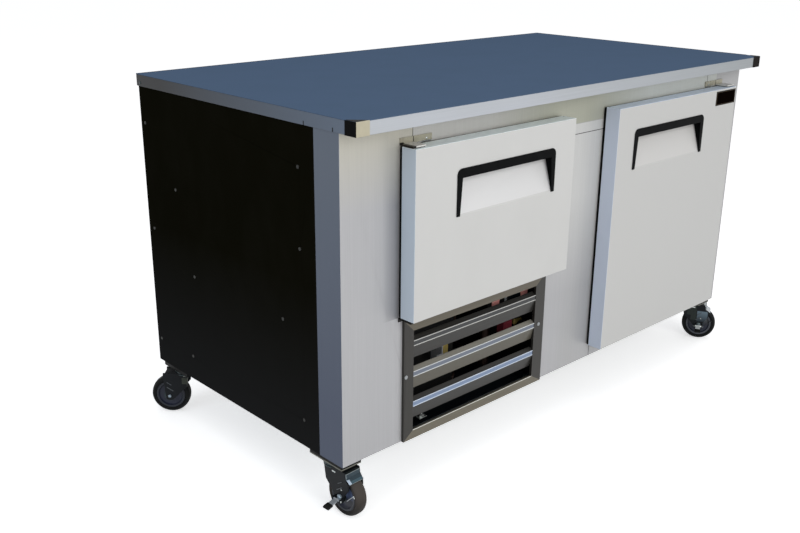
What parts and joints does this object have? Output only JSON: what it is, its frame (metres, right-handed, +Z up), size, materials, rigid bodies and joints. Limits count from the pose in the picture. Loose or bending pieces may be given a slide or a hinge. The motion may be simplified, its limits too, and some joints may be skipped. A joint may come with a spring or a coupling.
{
  "type": "undercounter refrigerator",
  "caption": "Two-door undercounter refrigerator with a flat worktop, recessed door handles, a louvred machine grille below the short door, and swivel casters.",
  "frame": {"origin": "on the floor under the middle of the whole part", "axes": "+X to the right along the front, +Y to the back, +Z up; the doors face -Y"},
  "size_m": [1.6138, 0.8192, 0.89],
  "materials": {
    "worktop_blue": "smooth flat slate-blue surface",
    "stainless": "brushed",
    "band_steel": "brushed",
    "door_steel": "fine brushed",
    "black_paint": "semi-matte black",
    "galvanised": "dull zinc",
    "polished_cap": "polished",
    "core_board": "raw board",
    "foam": "rigid foam",
    "liner_metal": "satin",
    "gasket_rubber": "matte",
    "black_plastic": "fine grain",
    "grille_bronze": "dark brushed",
    "zinc": "bright zinc",
    "tyre_rubber": "satin",
    "shelf_wire": "epoxy coated",
    "fin_metal": "thin fins",
    "compressor_black": "gloss black",
    "copper": "bright tube",
    "rocker_red": "lit rocker",
    "fan_metal": "stamped"
  },
  "bodies": {
    "cabinet": {"worktop_panel": "worktop_blue", "worktop_edge_trim": "band_steel", "worktop_core": "core_board", "worktop_corner_caps": "polished_cap", "left_side_panel": "black_paint", "right_side_panel": "black_paint", "back_panel": "galvanised", "base_pan": "galvanised", "left_stile": "stainless", "right_stile": "stainless", "front_header": "stainless", "centre_mullion": "stainless", "bottom_rail": "stainless", "insulation_boards": "foam", "inner_liner": "liner_metal", "door_hinge_brackets": "zinc", "grille_frame": "grille_bronze", "grille_slats": "grille_bronze", "casing_screws": "zinc", "caster_plates": "zinc", "left_shelf": "shelf_wire", "right_lower_shelf": "shelf_wire", "right_upper_shelf": "shelf_wire", "shelf_standards": "stainless", "unit_tray": "galvanised", "condenser_coil": "fin_metal", "fan_shroud": "black_paint", "condenser_fan_motor": "compressor_black", "compressor": "compressor_black", "refrigerant_lines": "copper", "drain_pan": "galvanised", "control_box": "black_paint", "thermostat": "black_plastic", "evaporator_housing": "liner_metal", "evaporator_coil": "fin_metal", "evaporator_fan_motor": "compressor_black"},
    "left_door": {"left_door_skin": "door_steel", "left_door_core": "foam", "left_door_liner": "liner_metal", "left_door_gasket": "gasket_rubber", "left_door_handle": "black_plastic"},
    "right_door": {"right_door_skin": "door_steel", "right_door_core": "foam", "right_door_liner": "liner_metal", "right_door_gasket": "gasket_rubber", "right_door_handle": "black_plastic"},
    "condenser_fan": {"condenser_fan": "fan_metal"},
    "evaporator_fan": {"evaporator_fan": "fan_metal"},
    "compressor_switch": {"compressor_switch": "rocker_red"},
    "light_switch": {"light_switch": "rocker_red"},
    "front_left_caster": {"front_left_fork": "zinc"},
    "front_left_wheel": {"front_left_wheel": "tyre_rubber"},
    "front_left_brake": {"front_left_brake": "zinc"},
    "front_right_caster": {"front_right_fork": "zinc"},
    "front_right_wheel": {"front_right_wheel": "tyre_rubber"},
    "front_right_brake": {"front_right_brake": "zinc"},
    "rear_left_caster": {"rear_left_fork": "zinc"},
    "rear_left_wheel": {"rear_left_wheel": "tyre_rubber"},
    "rear_right_caster": {"rear_right_fork": "zinc"},
    "rear_right_wheel": {"rear_right_wheel": "tyre_rubber"}
  },
  "joints": [
    {"name": "left_door_hinge", "type": "hinge", "parent": "cabinet", "child": "left_door", "pos_m": [-0.589, -0.3814, 0.626], "axis": [0, 0, -1], "range_deg": [0, 110]},
    {"name": "right_door_hinge", "type": "hinge", "parent": "cabinet", "child": "right_door", "pos_m": [0.652, -0.3814, 0.491], "axis": [0, 0, 1], "range_deg": [0, 110]},
    {"name": "front_left_swivel", "type": "hinge", "parent": "cabinet", "child": "front_left_caster", "pos_m": [-0.731, -0.295, 0.115], "axis": [0, 0, 1], "continuous": true},
    {"name": "front_left_wheel_spin", "type": "hinge", "parent": "front_left_caster", "child": "front_left_wheel", "pos_m": [-0.7296, -0.33498, 0.0508], "axis": [0.9994, 0.0349, 0], "continuous": true},
    {"name": "front_left_brake_pedal", "type": "hinge", "parent": "front_left_caster", "child": "front_left_brake", "pos_m": [-0.76158, -0.33609, 0.0478], "axis": [-0.0349, 0.9994, 0], "range_deg": [0, 22]},
    {"name": "front_right_swivel", "type": "hinge", "parent": "cabinet", "child": "front_right_caster", "pos_m": [0.717, -0.295, 0.115], "axis": [0, 0, 1], "continuous": true},
    {"name": "front_right_wheel_spin", "type": "hinge", "parent": "front_right_caster", "child": "front_right_wheel", "pos_m": [0.737, -0.32964, 0.0508], "axis": [0.866, 0.5, 0], "continuous": true},
    {"name": "front_right_brake_pedal", "type": "hinge", "parent": "front_right_caster", "child": "front_right_brake", "pos_m": [0.70929, -0.34564, 0.0478], "axis": [-0.5, 0.866, 0], "range_deg": [0, 22]},
    {"name": "rear_left_swivel", "type": "hinge", "parent": "cabinet", "child": "rear_left_caster", "pos_m": [-0.731, 0.328, 0.115], "axis": [0, 0, 1], "continuous": true},
    {"name": "rear_left_wheel_spin", "type": "hinge", "parent": "rear_left_caster", "child": "rear_left_wheel", "pos_m": [-0.75928, 0.35628, 0.0508], "axis": [-0.7071, -0.7071, 0], "continuous": true},
    {"name": "rear_right_swivel", "type": "hinge", "parent": "cabinet", "child": "rear_right_caster", "pos_m": [0.717, 0.328, 0.115], "axis": [0, 0, 1], "continuous": true},
    {"name": "rear_right_wheel_spin", "type": "hinge", "parent": "rear_right_caster", "child": "rear_right_wheel", "pos_m": [0.75521, 0.33983, 0.0508], "axis": [-0.2957, 0.9553, 0], "continuous": true},
    {"name": "condenser_fan_spin", "type": "hinge", "parent": "cabinet", "child": "condenser_fan", "pos_m": [-0.434, -0.1804, 0.2405], "axis": [0, 1, 0], "continuous": true},
    {"name": "evaporator_fan_spin", "type": "hinge", "parent": "cabinet", "child": "evaporator_fan", "pos_m": [-0.594, -0.0734, 0.686], "axis": [1, 0, 0], "continuous": true},
    {"name": "compressor_switch_rocker", "type": "hinge", "parent": "cabinet", "child": "compressor_switch", "pos_m": [-0.243, -0.3134, 0.371], "axis": [-1, 0, 0], "range_deg": [0, 18]},
    {"name": "light_switch_rocker", "type": "hinge", "parent": "cabinet", "child": "light_switch", "pos_m": [-0.136, -0.3134, 0.371], "axis": [-1, 0, 0], "range_deg": [0, 18]}
  ]
}
